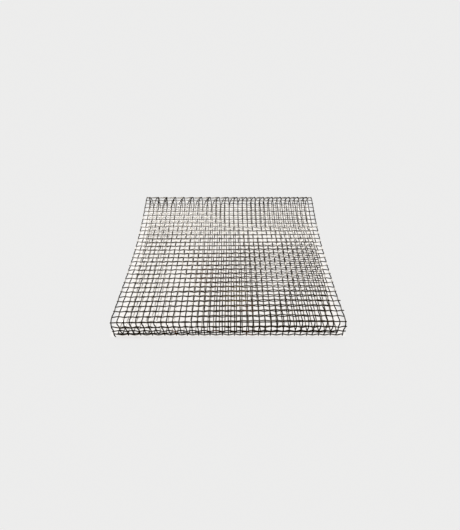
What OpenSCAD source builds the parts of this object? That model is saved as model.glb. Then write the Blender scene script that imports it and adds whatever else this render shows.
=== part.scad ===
// Wire gauze: one sheet of plain-woven, crimped steel wire, folded round into a flat, open-ended sleeve.
// X runs across the sleeve along the wefts. Y runs from the front face to the rear fold. Z is up.
// Each warp follows the whole fold. Each weft crosses the sleeve once, in the sheet's own plane.

/* [Mesh] */
// Distance from one wire to the next, both ways: ten wires to the inch
pitch = 2.54; // [2.4:0.02:3.2]
// Diameter of the wire
wire_d = 0.46; // [0.3:0.01:0.6]
// Clearance between two wires where they cross
wire_gap = 0.02; // [0.02:0.01:0.08]
// Length of each cut end past the last wire it crosses
end_stub = 0.85; // [0.3:0.05:1.1]

/* [Sleeve] */
// Width between the outermost warps, kept to whole pitches
sleeve_w = 96.5; // [40:0.5:116]
// Length of the front face, up from the seam
face_l = 7.6; // [5:0.1:15]
// Length of the top's front half, which eases down into the dip
top_front_l = 33; // [20:1:45]
// Length of the top's rear half, which bends up out of the dip
top_rear_l = 30.5; // [20:0.5:45]
// Length of the straight climb before the rear fold
climb_l = 10.2; // [3:0.1:20]
// Length of sheet in the rear fold
rear_fold_l = 7.6; // [5:0.1:12]
// Length of the sloping start of the lower layer
lift_l = 12.7; // [7:0.1:30]
// Gap at the seam, between the front face's cut ends and the lower layer
seam_gap = 0.2; // [0.05:0.05:1.5]
// How far behind the front face's foot the lower layer's last weft stands, to the nearest whole pitch
seam_setback = 1.6; // [0:0.1:2.5]

/* [Bends] */
// Slope of the front face at its foot
foot_slope = 80.7; // [70:0.1:90]
// Bend of the front face, towards the rear
face_bend = 4.4; // [0:0.1:10]
// Bend of the tight top front corner
corner_bend = 85.1; // [70:0.1:95]
// Bend of the top's front half, upwards
top_front_bend = 5.9; // [0:0.1:12]
// Bend of the top's rear half, upwards
top_rear_bend = 15.2; // [10:0.1:22]

/* [Hidden] */
$fn = 24;
// Greatest number of files for the warps and for the wefts
warp_node_limit = 39;
weft_node_limit = 21;
// A wire is a chain of arcs; every second arc is this much thinner and is lapped into the next ones
seat_step = 0.02;
seat_lap = 0.04;
// Half-angles smaller than this are drawn straight
straight_angle = 0.5;

// Crimp: each wire swings this far to either side of the sheet's middle surface
crimp = (wire_d + wire_gap) / 2;
crimp_angle = 2 * atan(2 * crimp / pitch);
raise = crimp + wire_d / 2;

// Height of the front face's lowest crossing over the lower layer's middle surface
seam_rise = raise + seam_gap + wire_d / 2 + end_stub;

// Number of wires, and of crossings in each stretch of the fold
warp_n = round(sleeve_w / pitch) + 1;
face_n = crossings(face_l);
top_front_n = crossings(top_front_l);
top_rear_n = crossings(top_rear_l);
climb_n = crossings(climb_l);
rear_fold_n = crossings(rear_fold_l);
lift_n = crossings(lift_l);

// Slope just before the rear fold, measured from level
crest_slope = foot_slope - face_bend - corner_bend + top_front_bend + top_rear_bend;

// The lower layer's slope is the one that brings it down exactly to the level of its flat run
lift_slope = solve_lift(5, 85, 40);
lead_turns = fold_turns(lift_slope);
lead_points = inflections(lead_turns);
bottom_n = round((lead_points[len(lead_turns)].x - lead_points[0].x - seam_setback) / pitch + 0.5);
turns = concat(lead_turns, even_turns(bottom_n, 0));
headings = running(turns, foot_slope);
points = inflections(turns);
weft_n = len(turns);

// The sleeve is centred front to rear on the origin
crossing_y = [for (k = [0 : weft_n - 1]) crossing(k).x];
mid_y = (min(crossing_y) + max(crossing_y)) / 2;

// Wires per node, so that the number of nodes stays in its limits
warp_share = ceil(warp_n / warp_node_limit);
weft_share = ceil(weft_n / weft_node_limit);
warp_nodes = ceil(warp_n / warp_share);
weft_nodes = ceil(weft_n / weft_share);

function two_digits(n) = str(n < 10 ? "0" : "", n);
function warp_name(g) = str("warp_wire_", two_digits(g));
function weft_name(g) = str("weft_wires_", two_digits(g));

// Whole crossings in a stretch of sheet
function crossings(length) = max(1, round(length / pitch));

// One turn per crossing, which share a bend equally; a positive bend goes upwards on the top layer
function even_turns(n, bend) = n < 1 ? [] : [for (k = [1 : n]) bend / n];

// Turns of every crossing down to the start of the flat bottom run, for one slope of the lower layer
function fold_turns(slope) = concat(
    even_turns(face_n, -face_bend),
    even_turns(1, -corner_bend),
    even_turns(top_front_n, top_front_bend),
    even_turns(top_rear_n, top_rear_bend),
    even_turns(climb_n, 0),
    even_turns(rear_fold_n, slope - 180 - crest_slope),
    even_turns(lift_n, 0),
    even_turns(1, -slope)
);

// Running totals of a list, from a first value
function running(list, first) = [
    for (k = 0, total = first; k <= len(list); total = total + (k < len(list) ? list[k] : 0), k = k + 1) total
];

// Chord of an arc of a given length and turn
function chord(length, turn) = abs(turn) < 0.001 ? length : length * sin(turn / 2) / (turn / 2 * PI / 180);

// Points, as [y, z], half-way between crossings along the sheet's middle surface
function inflections(turns) = let (
    dirs = running(turns, foot_slope),
    ys = running([for (k = [0 : len(turns) - 1]) chord(pitch, turns[k]) * cos(dirs[k] + turns[k] / 2)], 0),
    zs = running([for (k = [0 : len(turns) - 1]) chord(pitch, turns[k]) * sin(dirs[k] + turns[k] / 2)], 0),
    foot_z = seam_rise - chord(pitch / 2, turns[0] / 2) * sin(dirs[0] + turns[0] / 4)
) [for (k = [0 : len(turns)]) [ys[k], zs[k] + foot_z]];

// Slope of the lower layer, found by halving an interval
function landing(slope) = let (ends = inflections(fold_turns(slope))) ends[len(ends) - 1].y;
function solve_lift(low, high, steps) = steps == 0
    ? (low + high) / 2
    : landing((low + high) / 2) > 0
        ? solve_lift((low + high) / 2, high, steps - 1)
        : solve_lift(low, (low + high) / 2, steps - 1);

// Place of a crossing, as [y, z], and the sheet's slope there
function crossing(k) = points[k] + chord(pitch / 2, turns[k] / 2)
    * [cos(headings[k] + turns[k] / 4), sin(headings[k] + turns[k] / 4)];
function crossing_slope(k) = headings[k] + turns[k] / 2;

// Side of the middle surface on which warp i passes weft k
function side(i, k) = (i + k) % 2 == 0 ? 1 : -1;

// Diameter of an arc, and how far it is lapped into its neighbours
function arc_d(k) = k % 2 == 0 ? wire_d : wire_d - seat_step;
function arc_lap(k) = k % 2 == 0 ? 0 : seat_lap;

// One arc of wire in the XY plane, through two points, with the signed angle between chord and end tangents.
// A cut end keeps only end_stub past the middle of its arc.
module wire_arc(from, to, half_angle, k, cut_start, cut_end) {
    span = norm(to - from);
    dir = atan2(to.y - from.y, to.x - from.x);
    r = span / 2 / max(sin(abs(half_angle)), sin(straight_angle));
    start = cut_start ? end_stub : pitch / 2 + arc_lap(k);
    end = cut_end ? end_stub : pitch / 2 + arc_lap(k);
    translate((from + to) / 2) rotate(dir)
    if (abs(half_angle) < straight_angle)
        translate([-start, 0, 0]) rotate([0, 90, 0]) cylinder(d = arc_d(k), h = start + end);
    else {
        bow = half_angle < 0 ? 1 : -1;
        per_mm = abs(half_angle) / (pitch / 2);
        first = bow > 0 ? 90 - end * per_mm : 270 - start * per_mm;
        translate([0, -bow * r * cos(half_angle), 0]) rotate(first)
        rotate_extrude(angle = (start + end) * per_mm) translate([r, 0]) circle(d = arc_d(k));
    }
}

// Warp i, from the foot of the front face, over the top, round the rear fold and back underneath
module warp_wire(i)
    color("silver") translate([(i - (warp_n - 1) / 2) * pitch, -mid_y, raise]) rotate([90, 0, 90])
    for (k = [0 : weft_n - 1])
        wire_arc(points[k], points[k + 1], turns[k] / 2 - side(i, k) * crimp_angle, k,
            k == 0, k == weft_n - 1);

// Weft k, straight across the sleeve
module weft_wire(k)
    color("silver") translate([-(warp_n - 1) / 2 * pitch, crossing(k).x - mid_y, crossing(k).y + raise])
    rotate([crossing_slope(k) + 90, 0, 0])
    for (i = [0 : warp_n - 1])
        wire_arc([(i - 0.5) * pitch, 0], [(i + 0.5) * pitch, 0], side(i, k) * crimp_angle, i,
            i == 0, i == warp_n - 1);

// Nodes: the warps one by one, and the wefts in groups of neighbours, each wire a solid of its own
module warp_node(g) for (i = [(g - 1) * warp_share : min(g * warp_share, warp_n) - 1]) warp_wire(i);
module weft_node(g) for (k = [(g - 1) * weft_share : min(g * weft_share, weft_n) - 1]) weft_wire(k);

for (g = [1 : warp_nodes]) warp_node(g);
for (g = [1 : weft_nodes]) weft_node(g);
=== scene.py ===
import math

import bpy
import numpy as np
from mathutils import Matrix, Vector


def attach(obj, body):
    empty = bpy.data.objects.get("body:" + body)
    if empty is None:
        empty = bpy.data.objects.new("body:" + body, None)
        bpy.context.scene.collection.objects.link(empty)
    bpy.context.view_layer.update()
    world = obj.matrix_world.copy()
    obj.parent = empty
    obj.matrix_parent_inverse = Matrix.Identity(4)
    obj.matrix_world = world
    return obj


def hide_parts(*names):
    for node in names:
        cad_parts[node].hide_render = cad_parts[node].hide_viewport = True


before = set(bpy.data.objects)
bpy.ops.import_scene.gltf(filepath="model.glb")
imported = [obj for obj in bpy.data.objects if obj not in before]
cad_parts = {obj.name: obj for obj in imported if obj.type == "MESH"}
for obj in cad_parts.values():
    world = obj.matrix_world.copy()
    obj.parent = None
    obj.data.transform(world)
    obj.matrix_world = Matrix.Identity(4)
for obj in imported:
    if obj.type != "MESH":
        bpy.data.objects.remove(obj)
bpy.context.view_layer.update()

# Wire gauze: a woven steel sheet folded into a flat sleeve.
# u counts the warps from left to right and v counts the wefts along the fold, from the foot of the front
# face over the top, round the rear fold and back along the lower layer. Whole numbers are crossings.

# Apart from the crown, the sizes of the weave and the fold repeat those of part.scad, which works out the
# last slope and the bend of the rear fold: a change there needs the same change here.
weave = {
    "pitch": 0.00254,
    "wire": 0.00046,
    "gap": 0.00002,  # clearance between two wires where they cross
    "warps": 39,
    "crown": 0.16,  # roundness of a crimp's crown, in pitches
}
fold = {
    "footSlope": 80.7,
    "footHeight": 0.00175,
    # each stretch's number of crossings, and its bend in degrees
    "stretches": [
        (3, -4.4),  # front face
        (1, -85.1),  # front corner
        (13, 5.9),  # top, down into the dip
        (12, 15.2),  # top, up out of it
        (4, 0),
        (3, -168.5367),  # rear fold
        (5, 0),  # lower layer, sloping down
        (1, -23.7633),
        (25, 0),  # and flat
    ],
}
# the wefts at which some parts of the fold start
wefts = {"corner": 3, "crest": 33, "flat": 42}


def makeProfile():
    # slope and place of the half-way points between crossings, in the Y-Z plane
    bends = np.concatenate([np.full(n, bend / n) for n, bend in fold["stretches"]])
    slopes = fold["footSlope"] + np.concatenate([[0], np.cumsum(bends)])
    chords = weave["pitch"] * np.sinc(bends / 360)
    angles = np.radians(slopes[:-1] + bends / 2)
    steps = np.stack([chords * np.cos(angles), chords * np.sin(angles)], 1)
    points = np.concatenate([[[0, 0]], np.cumsum(steps, 0)])
    first = weave["pitch"] / 2 * np.sinc(bends[0] / 720)
    points[:, 1] += fold["footHeight"] - first * math.sin(math.radians(slopes[0] + bends[0] / 4))
    return bends, slopes, points


bends, slopes, halfway = makeProfile()
weftCount = len(bends)
raiseUp = weave["wire"] + weave["gap"] / 2


def onProfile(v):
    # place and slope of the sheet's middle at any v
    k = np.clip(np.floor(v + 0.5).astype(int), 0, weftCount - 1)
    f = v + 0.5 - k
    bend = bends[k] * f
    angle = np.radians(slopes[k] + bend / 2)
    reach = weave["pitch"] * f * np.sinc(bend / 360)
    y = halfway[k, 0] + reach * np.cos(angle)
    z = halfway[k, 1] + reach * np.sin(angle)
    return y, z, np.radians(slopes[k] + bend)


crossY = onProfile(np.arange(weftCount, dtype=float))[0]
midY = (crossY.min() + crossY.max()) / 2


def ease(low, high, x):
    t = np.clip((x - low) / (high - low), 0, 1)
    return t * t * (3 - 2 * t)


# The sheet isn't true: its layers lean and its wires drift. Lengths here are in pitches. A name with In or
# Out gives the wefts, and one with Side the warps, between which a thing grows from nothing to full.
wander = {
    # how far the sheet lies to the right, at these wefts
    "leanAt": [8.0, 17.0, 32.9, 35.1, 38.5, 41.0, 43.5, 49.5, 58.5, 62.0, 66.0],
    "lean": [0.0, 0.12, 0.19, -0.72, -0.79, -0.62, -0.49, -0.42, -0.48, -0.56, -0.58],
    # the left edge of the lower layer is pushed in, less so near the front
    "pinch": 1.4,
    "pinchReach": 7.5,
    "pinchShape": 1.3,
    "pinchIn": (32.6, 35.5),
    "pinchLoss": 0.35,
    "pinchLossIn": (60, 66),
    # warps lean together in pairs over the rear fold, on the left
    "pairing": 0.38,
    "pairingIn": (30.6, 33.4),
    "pairingOut": (36.5, 34.4),
    "pairingSide": (24, 16),
    # and stand apart at the foot of the front face
    "footSpread": 0.4,
    "footSpreadMost": 1.1,
    "footSpreadSide": (15, 9),
    # the top's wefts lie askew near the front, by so much for each warp
    "topSkew": 0.0063,
    "topSkewOut": (25, 3),
    # the last ones before the rear fold stand back
    "crowding": 0.22,
    "crowdingIn": (26.5, 29.5),
    "crowdingOut": (34, 32),
    # and the lower layer's wefts lie askew too; near the front, no more so beyond one warp
    "lowerSkewAt": [40.0, 43.5, 48.0, 56.0, 61.0, 66.0],
    "lowerSkew": [0.0, 0.0125, 0.016, 0.021, 0.016, 0.014],
    "lowerSkewStop": 29.0,
    "lowerSkewStopIn": (54, 59),
    "lowerSetback": 0.05,
    "lowerSetbackIn": (38, 44),
    # each wire drifts this far, with so many crossings from one turn to the next
    "warpDrift": 0.05,
    "warpDriftEvery": 5.5,
    "weftDrift": 0.045,
    "weftDriftEvery": 6.0,
    # but not the crest's wefts
    "crestIn": (29, 31),
    "crestOut": (38, 36),
    # the top is a little wavy
    "buckle": 0.05,
    "buckleEvery": 9.0,
    "buckleWarps": 4,
    "buckleLines": 12,
    "buckleIn": (4, 9),
    "buckleOut": (30, 25),
}
rng = np.random.RandomState(7)


def driftTable(lines, stretch, length):
    # one smooth random course for each wire of a family
    knots = int(length / stretch) + 4
    return rng.uniform(-1, 1, (lines + 4, knots))


def readDrift(table, line, along, stretch):
    a = np.clip(line + 2, 0, table.shape[0] - 1.001)
    b = np.clip(along / stretch + 1, 0, table.shape[1] - 1.001)
    i, j = np.floor(a).astype(int), np.floor(b).astype(int)
    s, t = a - i, b - j
    s, t = s * s * (3 - 2 * s), t * t * (3 - 2 * t)
    low = table[i, j] * (1 - t) + table[i, j + 1] * t
    high = table[i + 1, j] * (1 - t) + table[i + 1, j + 1] * t
    return low * (1 - s) + high * s


warpDrift = driftTable(weave["warps"], wander["warpDriftEvery"], weftCount)
weftDrift = driftTable(weftCount, wander["weftDriftEvery"], weave["warps"])
buckle = driftTable(wander["buckleLines"], wander["buckleEvery"], weftCount)


def shiftAcross(u, v):
    # how far a point of the sheet lies off its place, to the right
    shift = np.interp(v, wander["leanAt"], wander["lean"])
    edge = np.clip((wander["pinchReach"] - u) / wander["pinchReach"], 0, 1)
    loss = 1 - wander["pinchLoss"] * ease(*wander["pinchLossIn"], v)
    shift = shift + wander["pinch"] * ease(*wander["pinchIn"], v) * loss * edge ** wander["pinchShape"]
    toNeighbour = 1 - 2 * np.abs(u % 2 - 1)
    crest = ease(*wander["pairingIn"], v) * ease(*wander["pairingOut"], v) * ease(0, 1, u)
    shift = shift - wander["pairing"] * toNeighbour * crest * ease(*wander["pairingSide"], u)
    foot = np.clip(1 - v / wefts["corner"], 0, wander["footSpreadMost"])
    shift = shift + wander["footSpread"] * foot * ease(0, 1, u) * ease(*wander["footSpreadSide"], u)
    # the outermost warps don't drift
    inside = ease(-0.5, 1.5, u) * ease(weave["warps"] - 0.5, weave["warps"] - 2.5, u)
    return shift + wander["warpDrift"] * inside * readDrift(warpDrift, u, v, wander["warpDriftEvery"])


def shiftAlong(u, v):
    # and towards the rear: how far along the sheet, and how much further on the lower layer
    fromMiddle = u - (weave["warps"] - 1) / 2
    overCorner = np.clip(v / wefts["corner"], 0, 1)
    along = wander["topSkew"] * fromMiddle * overCorner * ease(*wander["topSkewOut"], v)
    along = along + wander["crowding"] * ease(*wander["crowdingIn"], v) * ease(*wander["crowdingOut"], v)
    crest = ease(*wander["crestIn"], v) * ease(*wander["crestOut"], v)
    loose = ease(-0.5, 3, v) * ease(weftCount, weftCount - 3, v) * (1 - crest)
    along = along + wander["weftDrift"] * loose * readDrift(weftDrift, v, u, wander["weftDriftEvery"])
    beyond = np.maximum(u - wander["lowerSkewStop"], 0) * ease(*wander["lowerSkewStopIn"], v)
    back = np.interp(v, wander["lowerSkewAt"], wander["lowerSkew"]) * (fromMiddle - 2 * beyond)
    return along, back + wander["lowerSetback"] * ease(*wander["lowerSetbackIn"], v)


def surface(u, v):
    # a point of the sheet's middle, and which way the sheet faces there
    u, v = np.broadcast_arrays(np.asarray(u, float), np.asarray(v, float))
    pitch = weave["pitch"]
    y, z, slope = onProfile(v)
    x = pitch * (u - (weave["warps"] - 1) / 2 + shiftAcross(u, v))
    along, back = shiftAlong(u, v)
    lower = ease(wefts["crest"], wefts["flat"], v)
    y = y - midY + pitch * (along * np.cos(slope) * (1 - lower) + lower * (along + back))
    z = z + raiseUp + pitch * along * np.sin(slope) * (1 - lower)
    roomy = ease(*wander["buckleIn"], v) * ease(*wander["buckleOut"], v)
    wave = readDrift(buckle, u / wander["buckleWarps"], v, wander["buckleEvery"])
    z = z + pitch * wander["buckle"] * roomy * wave
    return np.stack([x, y, z], -1), np.stack([0 * slope, -np.sin(slope), np.cos(slope)], -1)


def crimp(t):
    # how far a wire stands off the sheet's middle: a crowned wave with nearly straight flanks
    f = t - np.floor(t + 0.5)
    r = weave["crown"]
    wave = (math.sqrt(r * r + 0.25) - np.sqrt(r * r + f * f)) / (math.sqrt(r * r + 0.25) - r)
    return wave * (1 - 2 * (np.floor(t + 0.5) % 2)) * (weave["wire"] + weave["gap"]) / 2


tube = {
    "sides": 10,
    "rings": 7,  # in each pitch
    "brokenEdge": 0.00006,  # of a cut end
    # how far a cut end reaches past its last crossing, in pitches
    "stub": (0.1, 0.15),
    "longStub": 0.33,
    "strayEnd": 0.72,  # the first warp's foot
    "longEnds": (1, 2, 5, 7),  # wefts whose right ends were cut long
}


def sweepTube(path, side, highlight):
    # rings of points along a path, each square to it, with the strength of each one's painted highlight
    n = tube["sides"]
    run = np.gradient(path, axis=0)
    run /= np.linalg.norm(run, axis=1, keepdims=True)
    across = side - (side * run).sum(1, keepdims=True) * run
    across /= np.linalg.norm(across, axis=1, keepdims=True)
    up = np.cross(run, across)
    r, c = weave["wire"] / 2, tube["brokenEdge"]
    startEdge, endEdge = path[0] + run[0] * c, path[-1] - run[-1] * c
    centres = np.concatenate([path[:1], [startEdge], path[1:-1], [endEdge], path[-1:]])
    across = np.concatenate([across[:1], across, across[-1:]])
    up = np.concatenate([up[:1], up, up[-1:]])
    radii = np.full(len(centres), r)
    radii[[0, -1]] = r - c
    a = np.arange(n) / n * 2 * math.pi
    ring = np.cos(a)[None, :, None] * across[:, None] + np.sin(a)[None, :, None] * up[:, None]
    points = (centres[:, None] + ring * radii[:, None, None]).reshape(-1, 3)
    rings = len(centres)
    i, j = np.meshgrid(np.arange(rings - 1), np.arange(n), indexing="ij")
    k = (j + 1) % n
    quads = np.stack([i * n + j, i * n + k, (i + 1) * n + k, (i + 1) * n + j], -1).reshape(-1, 4)
    highlight = np.repeat(np.concatenate([highlight[:1], highlight, highlight[-1:]]), n)
    return points, quads, rings, highlight


def buildPiece(name, tubes, material):
    n = tube["sides"]
    verts, highlights, faces, base = [], [], [], 0
    for points, quads, rings, highlight in tubes:
        verts.append(points)
        highlights.append(highlight)
        faces += (quads + base).tolist()
        faces.append([base + s for s in reversed(range(n))])
        faces.append([base + (rings - 1) * n + s for s in range(n)])
        base += len(points)
    mesh = bpy.data.meshes.new(name)
    mesh.from_pydata(np.concatenate(verts).tolist(), [], faces)
    mesh.polygons.foreach_set("use_smooth", [len(f) == 4 for f in faces])
    mesh.materials.append(material)
    # each point's painted highlight strength, kept on the mesh
    brightness = mesh.attributes.new("highlight", "FLOAT", "POINT")
    brightness.data.foreach_set("value", np.concatenate(highlights).astype(np.float32))
    mesh.update()
    piece = bpy.data.objects.new(name, mesh)
    bpy.context.scene.collection.objects.link(piece)
    return piece


def stations(last, startStub, endStub):
    # where a wire gets its rings, from one cut end to the other
    steps = np.arange(0, last * tube["rings"] + 1) / tube["rings"]
    return np.concatenate([[-startStub], steps, [last + endStub]])


# Painted highlights: the top's wires are painted bright where light from above would glint on them: the
# warps where they climb towards the rear, and the wefts where they ride over a warp, more on the one side
# of it.
paintedHighlights = {
    # it grows from the first weft to the full one, and goes on to the last, which comes sooner on the right
    "first": 4.0,
    "full": 15.0,
    "last": 29.0,
    "lastOnRight": 26.0,
    "rightSide": (14, 20),
    "fadeIn": 1.5,
    "fadeOut": 1.0,
    # its strength at first, and how much weaker it is on the left
    "least": 0.15,
    "lessOnLeft": 0.25,
    "leftSide": (14, 8),
    # how far it goes to either side of its middle and how softly it ends, in pitches
    "reach": 0.35,
    "softness": 0.12,
    "warpLean": -0.55,
    "weftLean": 0.36,
    "weftLeanFlips": (9.0, 15.0),  # the warps between which that turns round
    "weftShare": 0.32,  # the wefts' painted highlights are weaker than the warps'
    # wefts with a painted glint all along, and the warps between which it lies
    "glintShare": 0.3,
    "glint": {
        24: (-1, 19),
        25: (-1, 21),
        26: (-1, 22),
        27: (-1, 21),
        28: (-1, 40),
        29: (-1, 20),
        30: (-1, 40),
        31: (-1, 18),
        32: (-1, 40),
        33: (-1, 40),
    },
}


def highlightOver(u, v):
    # how strong the top's painted highlights are, from the front face to the rear fold
    first, least, fade = paintedHighlights["first"], paintedHighlights["least"], paintedHighlights["fadeOut"]
    last = paintedHighlights["last"] + (paintedHighlights["lastOnRight"] - paintedHighlights["last"]) * ease(*paintedHighlights["rightSide"], u)
    share = ease(first - paintedHighlights["fadeIn"], first, v) * ease(last + fade, last - fade, v)
    share = share * (1 - paintedHighlights["lessOnLeft"] * ease(*paintedHighlights["leftSide"], u))
    return share * (least + (1 - least) * ease(first, paintedHighlights["full"], v))


def highlightAlong(t, middle):
    # 1 near every second crossing, counted from the one at middle
    away = np.abs((t - middle + 1) % 2 - 1)
    return ease(paintedHighlights["reach"] + paintedHighlights["softness"], paintedHighlights["reach"] - paintedHighlights["softness"], away)


def weaveWarp(i):
    foot = tube["strayEnd"] if i == 0 else rng.uniform(*tube["stub"])
    v = stations(weftCount - 1, foot, rng.uniform(*tube["stub"]))
    mid, normal = surface(float(i), v)
    path = mid + normal * (crimp(v) * (1 - 2 * (i % 2)))[:, None]
    # painted highlight where the warp climbs towards the rear, as if lit from above
    highlight = highlightAlong(v, i % 2 + paintedHighlights["warpLean"]) * highlightOver(float(i), v)
    return sweepTube(path, np.tile([1.0, 0, 0], (len(v), 1)), highlight)


def weaveWeft(k):
    right = tube["longStub"] if k in tube["longEnds"] else rng.uniform(*tube["stub"])
    u = stations(weave["warps"] - 1, rng.uniform(*tube["stub"]), right)
    mid, normal = surface(u, float(k))
    path = mid - normal * (crimp(u) * (1 - 2 * (k % 2)))[:, None]
    lean = paintedHighlights["weftLean"] * (1 - 2 * ease(*paintedHighlights["weftLeanFlips"], u))
    # painted highlight where the weft rides over a warp
    highlight = paintedHighlights["weftShare"] * highlightAlong(u, (k + 1) % 2 + lean) * highlightOver(u, float(k))
    # a painted glint all along some wefts
    if k in paintedHighlights["glint"]:
        first, last = paintedHighlights["glint"][k]
        glint = ease(first - 1, first + 1, u) * ease(last + 1, last - 1, u)
        highlight = np.maximum(highlight, paintedHighlights["glintShare"] * glint)
    return sweepTube(path, normal, highlight)


def addNode(tree, kind, **settings):
    node = tree.nodes.new(kind)
    for key, value in settings.items():
        setattr(node, key, value)
    return node


def feed(tree, socket, value):
    # a number or a colour is set on the socket, and another node's output is linked to it
    if isinstance(value, (int, float)):
        socket.default_value = value
    elif isinstance(value, tuple):
        socket.default_value = (*value, 1)
    else:
        tree.links.new(value, socket)


def mapRange(tree, source, low, high, to=(0, 1)):
    node = addNode(tree, "ShaderNodeMapRange", interpolation_type="SMOOTHSTEP")
    sockets = ("Value", "From Min", "From Max", "To Min", "To Max")
    for name, value in zip(sockets, (source, low, high, *to)):
        feed(tree, node.inputs[name], value)
    return node.outputs["Result"]


def combine(tree, operation, *values):
    node = addNode(tree, "ShaderNodeMath", operation=operation)
    for socket, value in zip(node.inputs, values):
        feed(tree, socket, value)
    return node.outputs["Value"]


def multiply(tree, *values):
    total = values[0]
    for value in values[1:]:
        total = combine(tree, "MULTIPLY", total, value)
    return total


def mix(tree, factor, a, b):
    node = addNode(tree, "ShaderNodeMix", data_type="RGBA")
    for name, value in (("Factor", factor), ("A", a), ("B", b)):
        feed(tree, node.inputs[name], value)
    return node.outputs["Result"]


def noise(tree, coords, scale, detail):
    node = addNode(tree, "ShaderNodeTexNoise")
    node.inputs["Scale"].default_value = scale
    node.inputs["Detail"].default_value = detail
    tree.links.new(coords, node.inputs["Vector"])
    return node.outputs["Fac"]


def splitPlace(tree):
    coords = addNode(tree, "ShaderNodeTexCoord").outputs["Object"]
    split = addNode(tree, "ShaderNodeSeparateXYZ")
    tree.links.new(coords, split.inputs["Vector"])
    return coords, split.outputs["X"], split.outputs["Y"], split.outputs["Z"]


# Steel dulled by heat: dark and a little brown, stained in places. The lower layer is painted lighter, as
# painted light that lifts it out of the top layer's shade, and the top carries painted highlights.
steel = {
    "dark": (0.016, 0.011, 0.006),
    "rim": (0.175, 0.15, 0.12),
    # the colour of the painted highlights
    "paintedHighlight": (0.62, 0.576, 0.515),
    # the lightest the painted light makes the lower layer
    "paintedLightBelowMost": (0.8, 0.768, 0.712),
    "rust": (0.105, 0.045, 0.02),
    "olive": (0.12, 0.095, 0.035),
    "soot": (0.02, 0.012, 0.008),
    # the painted light of the lower layer lies below a plane that rises behind riseFrom; it leaves out the
    # strip under the front face, which stays dark. A pair of places runs from none to full.
    "riseFrom": 0.020,
    "rise": 0.33,
    "underside": (0.0040, 0.0022),
    "frontStrip": (-0.0376, -0.0362),
    # the painted light grows towards the rear and towards the left
    "towardsRear": (0.004, 0.022),
    "towardsLeft": (0.0, -0.022),
    # a noise's scale and detail, the part of its range that counts, and what that becomes
    "underPatches": (140.0, 4.0, (0.25, 0.5), (0.72, 1.0)),
    "highlightPatches": (420.0, 2.0, (0.3, 0.6), (0.45, 1.0)),
    "stainPatches": (700.0, 3.0, (0.3, 0.6), (0.3, 1.0)),
    "roughness": (900.0, 3.0, (0.3, 0.7), (0.32, 0.5)),
    "stainCore": 0.35,  # how much of a stain's reach is full strength
    # drawing lines along the wire, and fine pitting
    "pitScale": 9000.0,
    "pitShare": 0.6,
    "bump": 0.35,
    "bumpDepth": 0.00002,
}
# how the two families differ underneath: their colour where least lightened, how far the painted light
# lightens them towards the left and the rear, and whether the rear fold stays dark; and the scale of the
# drawing lines along them
warpLightAndGrain = {
    "least": (0.138, 0.12, 0.094),
    "left": 1,
    "rear": 0.35,
    "darkFold": (0.0385, 0.0335),
    "grain": (16000, 700, 16000),
}
weftLightAndGrain = {
    "least": (0.078, 0.065, 0.05),
    "left": 0.05,
    "rear": 1,
    "darkFold": None,
    "grain": (700, 16000, 16000),
}
# where a stain sits (u, v), how far it spreads in pitches, its colour and strength
stains = [
    (17.0, 14.0, 9.0, "rust", 0.13),
    (22.1, 6.0, 0.8, "soot", 0.95),
    (22.1, 5.6, 2.0, "rust", 0.5),
    (20.3, 8.3, 3.4, "olive", 0.6),
    (14.6, 12.5, 2.6, "rust", 0.45),
    (13.5, 13.5, 0.7, "soot", 0.8),
    (9.7, 0.8, 0.9, "rust", 0.8),
    (17.0, 0.8, 0.8, "rust", 0.8),
    (22.4, 0.4, 1.2, "rust", 0.7),
]


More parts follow.
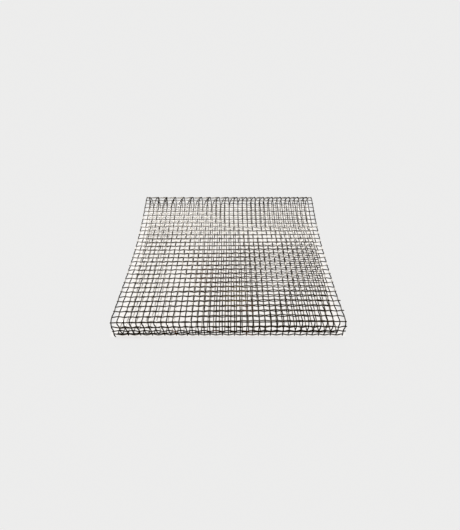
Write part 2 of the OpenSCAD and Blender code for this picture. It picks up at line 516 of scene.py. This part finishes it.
def heatedSteel(name, lightAndGrain):
    mat = bpy.data.materials.new(name)
    mat.use_nodes = True
    tree = mat.node_tree
    bsdf = tree.nodes["Principled BSDF"]
    bsdf.inputs["Metallic"].default_value = 1
    bsdf.inputs["IOR"].default_value = 1.5
    bsdf.inputs["Specular Tint"].default_value = (*steel["rim"], 1)
    coords, x, y, z = splitPlace(tree)

    def patches(kind):
        scale, detail, counts, to = steel[kind]
        return mapRange(tree, noise(tree, coords, scale, detail), *counts, to)

    # the mask of the lower layer, which is painted lighter
    rise = combine(tree, "MAXIMUM", combine(tree, "SUBTRACT", y, steel["riseFrom"]), 0)
    depth = combine(tree, "SUBTRACT", z, multiply(tree, rise, steel["rise"]))
    under = mapRange(tree, depth, *steel["underside"])
    under = multiply(tree, under, mapRange(tree, y, *steel["frontStrip"]))
    if lightAndGrain["darkFold"]:
        under = multiply(tree, under, mapRange(tree, y, *lightAndGrain["darkFold"]))
    under = multiply(tree, under, patches("underPatches"))
    # the top's colour: dark steel, painted bright where it carries a painted highlight
    paintedHighlight = addNode(tree, "ShaderNodeAttribute", attribute_name="highlight").outputs["Fac"]
    top = mix(tree, multiply(tree, paintedHighlight, patches("highlightPatches")), steel["dark"], steel["paintedHighlight"])
    # painted light: the lower layer is lightened towards near white, more towards the rear and the left
    towardsRear = mapRange(tree, y, *steel["towardsRear"], (0, lightAndGrain["rear"]))
    towardsLeft = mapRange(tree, x, *steel["towardsLeft"], (0, lightAndGrain["left"]))
    paintedLightBelowShare = combine(tree, "MAXIMUM", towardsLeft, towardsRear)
    paintedLightBelow = mix(tree, paintedLightBelowShare, lightAndGrain["least"], steel["paintedLightBelowMost"])
    colour = mix(tree, under, top, paintedLightBelow)
    for u, v, reach, tint, strength in stains:
        away = addNode(tree, "ShaderNodeVectorMath", operation="DISTANCE")
        tree.links.new(coords, away.inputs[0])
        away.inputs[1].default_value = surface(u, v)[0].tolist()
        size = reach * weave["pitch"]
        spot = mapRange(tree, away.outputs["Value"], size, size * steel["stainCore"])
        colour = mix(tree, multiply(tree, spot, patches("stainPatches"), strength), colour, steel[tint])
    tree.links.new(colour, bsdf.inputs["Base Color"])
    tree.links.new(patches("roughness"), bsdf.inputs["Roughness"])

    stretched = addNode(tree, "ShaderNodeMapping")
    tree.links.new(coords, stretched.inputs["Vector"])
    stretched.inputs["Scale"].default_value = lightAndGrain["grain"]
    lines = noise(tree, stretched.outputs["Vector"], 1.0, 2.0)
    pits = multiply(tree, noise(tree, coords, steel["pitScale"], 2.0), steel["pitShare"])
    bump = addNode(tree, "ShaderNodeBump")
    bump.inputs["Strength"].default_value = steel["bump"]
    bump.inputs["Distance"].default_value = steel["bumpDepth"]
    tree.links.new(combine(tree, "ADD", lines, pits), bump.inputs["Height"])
    tree.links.new(bump.outputs["Normal"], bsdf.inputs["Normal"])
    return mat


warpSteel = heatedSteel("warp steel", warpLightAndGrain)
weftSteel = heatedSteel("weft steel", weftLightAndGrain)

for i in range(weave["warps"]):
    piece = buildPiece(f"warp{i + 1:02d}", [weaveWarp(i)], warpSteel)
    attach(piece, "root")
    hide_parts(f"warp_wire_{i + 1:02d}")
print("warps woven")

weftsPerPiece = 4
for g in range(math.ceil(weftCount / weftsPerPiece)):
    rows = range(weftsPerPiece * g, min(weftsPerPiece * (g + 1), weftCount))
    piece = buildPiece(f"wefts{g + 1:02d}", [weaveWeft(k) for k in rows], weftSteel)
    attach(piece, "root")
    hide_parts(f"weft_wires_{g + 1:02d}")
print("wefts woven")

# White paper to lie on. The camera and the steel's shine see it mostly at one plain level, and right under
# the gauze whitest, as a painted pool of light that glows above white and lifts the gauze's shadow there;
# the rest of what is seen of it is its own colour, with the gauze's shadow.
table = {
    "size": 6.0,
    "paper": (0.8, 0.795, 0.78),
    "seen": (0.85, 0.85, 0.85),
    # the colour of the painted pool of light under the gauze
    "paintedPoolUnderGauze": (1.105, 1.070, 1.032),
    # the edges of the painted pool of light under the gauze, outside to inside
    "side": (0.0517, 0.0487),
    "front": (-0.0403, -0.0389),
    "rear": (0.0485, 0.041),
    # how much the plain level counts for each kind of ray
    "seenShare": {"Is Camera Ray": 0.75, "Is Glossy Ray": 0.5, "Is Transmission Ray": 0.5},
}


def whitePaper():
    mat = bpy.data.materials.new("white paper")
    mat.use_nodes = True
    tree = mat.node_tree
    sheet = tree.nodes["Principled BSDF"]
    sheet.inputs["Base Color"].default_value = (*table["paper"], 1)
    sheet.inputs["Roughness"].default_value = 0.95
    sheet.inputs["Specular IOR Level"].default_value = 0
    coords, x, y, z = splitPlace(tree)
    # painted pool of light: under the gauze the paper glows whiter than white
    paintedPoolMask = mapRange(tree, combine(tree, "ABSOLUTE", x), *table["side"])
    paintedPoolMask = multiply(tree, paintedPoolMask, mapRange(tree, y, *table["front"]), mapRange(tree, y, *table["rear"]))
    glow = addNode(tree, "ShaderNodeEmission")
    tree.links.new(mix(tree, paintedPoolMask, table["seen"], table["paintedPoolUnderGauze"]), glow.inputs["Color"])
    rays = addNode(tree, "ShaderNodeLightPath")
    share = 0
    for ray, counts in table["seenShare"].items():
        share = combine(tree, "MAXIMUM", share, multiply(tree, rays.outputs[ray], counts))
    blend = addNode(tree, "ShaderNodeMixShader")
    tree.links.new(share, blend.inputs["Fac"])
    tree.links.new(sheet.outputs["BSDF"], blend.inputs[1])
    tree.links.new(glow.outputs["Emission"], blend.inputs[2])
    tree.links.new(blend.outputs["Shader"], tree.nodes["Material Output"].inputs["Surface"])
    return mat


half = table["size"] / 2
paperMesh = bpy.data.meshes.new("paper")
corners = [(-half, -half, 0), (half, -half, 0), (half, half, 0), (-half, half, 0)]
paperMesh.from_pydata(corners, [], [(0, 1, 2, 3)])
paperMesh.materials.append(whitePaper())
paper = bpy.data.objects.new("paper", paperMesh)
bpy.context.scene.collection.objects.link(paper)
print("paper laid")

studio = {
    "seen": 0.847,  # the backdrop beyond the paper, to the camera and the steel's shine
    "world": 0.18,
    "sun": 2.7,
    "sunFrom": (-0.12, 0.0, 1.0),
    "sunSize": 34.0,
}
world = bpy.data.worlds.new("studio")
bpy.context.scene.world = world
world.use_nodes = True
backdrop = world.node_tree.nodes["Background"]
backdrop.inputs["Color"].default_value = (1, 1, 1, 1)
rays = addNode(world.node_tree, "ShaderNodeLightPath")
seen = rays.outputs["Is Camera Ray"]
for ray in ("Is Glossy Ray", "Is Transmission Ray"):
    seen = combine(world.node_tree, "MAXIMUM", seen, rays.outputs[ray])
level = mapRange(world.node_tree, seen, 0, 1, (studio["world"], studio["seen"]))
world.node_tree.links.new(level, backdrop.inputs["Strength"])
sunData = bpy.data.lights.new("high window", "SUN")
sunData.energy = studio["sun"]
sunData.angle = math.radians(studio["sunSize"])
sun = bpy.data.objects.new("high window", sunData)
sun.rotation_euler = Vector(studio["sunFrom"]).to_track_quat("Z", "Y").to_euler()
bpy.context.scene.collection.objects.link(sun)
print("light set")

view = {
    "place": (0.0, -0.09082, 0.12356),
    "down": 45.89,
    "lens": 19.6777,
    "sensor": 36,
    "shift": (0.0032, -0.0815),
    "nearest": 0.005,
}
cameraData = bpy.data.cameras.new("camera")
cameraData.lens = view["lens"]
cameraData.sensor_width = view["sensor"]
cameraData.shift_x, cameraData.shift_y = view["shift"]
cameraData.clip_start = view["nearest"]
camera = bpy.data.objects.new("camera", cameraData)
camera.location = view["place"]
camera.rotation_euler = (math.radians(90 - view["down"]), 0, 0)
bpy.context.scene.collection.objects.link(camera)
bpy.context.scene.camera = camera
bpy.context.scene.view_settings.view_transform = "Standard"
print("camera set")

bpy.context.view_layer.update()
